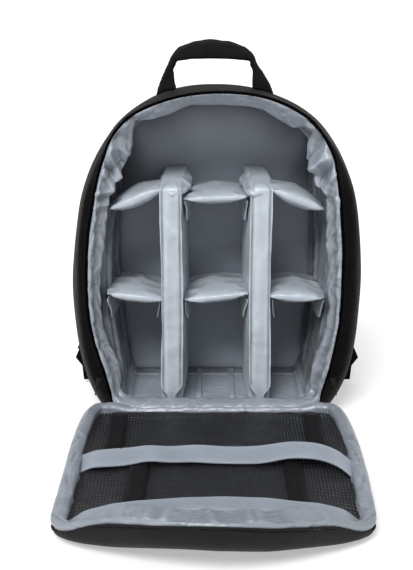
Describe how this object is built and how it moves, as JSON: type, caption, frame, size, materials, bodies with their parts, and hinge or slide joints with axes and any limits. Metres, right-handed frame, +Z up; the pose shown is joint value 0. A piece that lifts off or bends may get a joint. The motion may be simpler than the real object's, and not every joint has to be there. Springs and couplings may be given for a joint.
{
  "type": "camera backpack standing open",
  "caption": "Small arched camera backpack, standing open with its front flap laid forward, padded dividers inside and net pockets in the flap.",
  "frame": {"origin": "middle of the body's flat base, on the floor", "axes": "+Z up, +Y from the opening towards the back panel, so the open flap lies towards -Y, +X to the right seen from the front"},
  "size_m": [0.274, 0.4549, 0.341],
  "materials": {
    "shell_fabric": "matte black woven nylon",
    "lining_fabric": "satin grey nylon over foam",
    "pad_fabric": "satin light grey nylon over foam",
    "mesh_net": "fine black net",
    "band_fabric": "grey elastic binding",
    "webbing": "black ribbed webbing",
    "plastic": "black satin plastic"
  },
  "bodies": {
    "root": {"shell_gusset": "shell_fabric", "back_panel": "shell_fabric", "lining_gusset": "lining_fabric", "lining_back": "lining_fabric", "zip_tape_body": "webbing", "carry_handle": "webbing", "flap_shell": "shell_fabric", "flap_lining": "lining_fabric", "zip_tape_flap": "webbing", "mesh_pocket_lower": "mesh_net", "mesh_pocket_upper": "mesh_net", "pocket_band_lower": "band_fabric", "pocket_band_upper": "band_fabric", "shelf_middle_centre": "pad_fabric", "shelf_upper_centre": "pad_fabric", "zip_slider_left": "plastic", "divider_left": "pad_fabric", "shelf_middle_left": "pad_fabric", "shelf_upper_left": "pad_fabric", "tab_upper_centre_left": "pad_fabric", "tab_middle_centre_left": "pad_fabric", "tab_middle_left_inner": "pad_fabric", "tab_middle_left_outer": "pad_fabric", "tab_folded_left": "pad_fabric", "floor_tape_left": "lining_fabric", "mesh_tape_lower_left": "webbing", "mesh_tape_upper_left": "webbing", "shoulder_strap_left": "shell_fabric", "strap_buckle_left": "plastic", "strap_webbing_left": "webbing", "strap_wing_left": "shell_fabric", "zip_slider_right": "plastic", "divider_right": "pad_fabric", "shelf_middle_right": "pad_fabric", "shelf_upper_right": "pad_fabric", "tab_upper_centre_right": "pad_fabric", "tab_middle_centre_right": "pad_fabric", "tab_middle_right_inner": "pad_fabric", "tab_middle_right_outer": "pad_fabric", "tab_folded_right": "pad_fabric", "floor_tape_right": "lining_fabric", "mesh_tape_lower_right": "webbing", "mesh_tape_upper_right": "webbing", "shoulder_strap_right": "shell_fabric", "strap_buckle_right": "plastic", "strap_webbing_right": "webbing", "strap_wing_right": "shell_fabric"}
  },
  "joints": []
}
